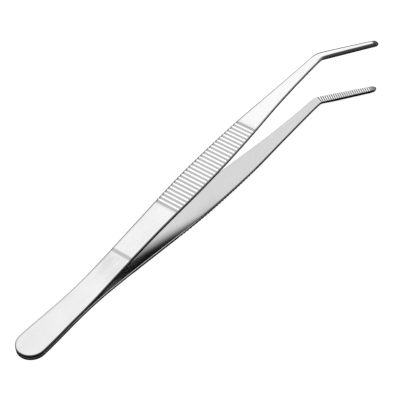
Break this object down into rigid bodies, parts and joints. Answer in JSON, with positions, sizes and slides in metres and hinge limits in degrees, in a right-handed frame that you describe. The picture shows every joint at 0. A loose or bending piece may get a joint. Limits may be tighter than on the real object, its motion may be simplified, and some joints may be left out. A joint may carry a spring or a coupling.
{
  "type": "bent-tip tweezers",
  "caption": "Sprung steel tweezers with rounded welded paddle, ribbed grip plates and angled serrated tips, used for planting and pruning in an aquarium.",
  "frame": {"origin": "rear end of the paddle, on the weld seam between the two arms and on the arms' centre line", "axes": "+X along the arms towards the tips, +Y across the arms away from the side the tips bend to, +Z at right angles to the seam, the way the upper arm opens"},
  "size_m": [0.1802, 0.0195, 0.024],
  "materials": {
    "upper_arm_steel": "satin-polished stainless steel",
    "lower_arm_steel": "satin-polished stainless steel",
    "weld_steel": "fused stainless steel"
  },
  "bodies": {
    "welded_paddle": {"upper_paddle": "upper_arm_steel", "lower_paddle": "lower_arm_steel", "spot_welds": "weld_steel"},
    "upper_arm": {"upper_arm": "upper_arm_steel"},
    "lower_arm": {"lower_arm": "lower_arm_steel"}
  },
  "joints": [
    {"name": "upper_flex", "type": "hinge", "parent": "welded_paddle", "child": "upper_arm", "pos_m": [0.036, 0, 0.00072], "axis": [0, 1, 0], "range_deg": [0, 4.1], "stiffness_Nm_per_rad": 2.5},
    {"name": "lower_flex", "type": "hinge", "parent": "welded_paddle", "child": "lower_arm", "pos_m": [0.036, 0, -0.00072], "axis": [0, -1, 0], "range_deg": [0, 4.1], "stiffness_Nm_per_rad": 2.5}
  ],
  "couplings": [
    {"joint": "lower_flex", "follows": "upper_flex", "ratio": 1}
  ]
}
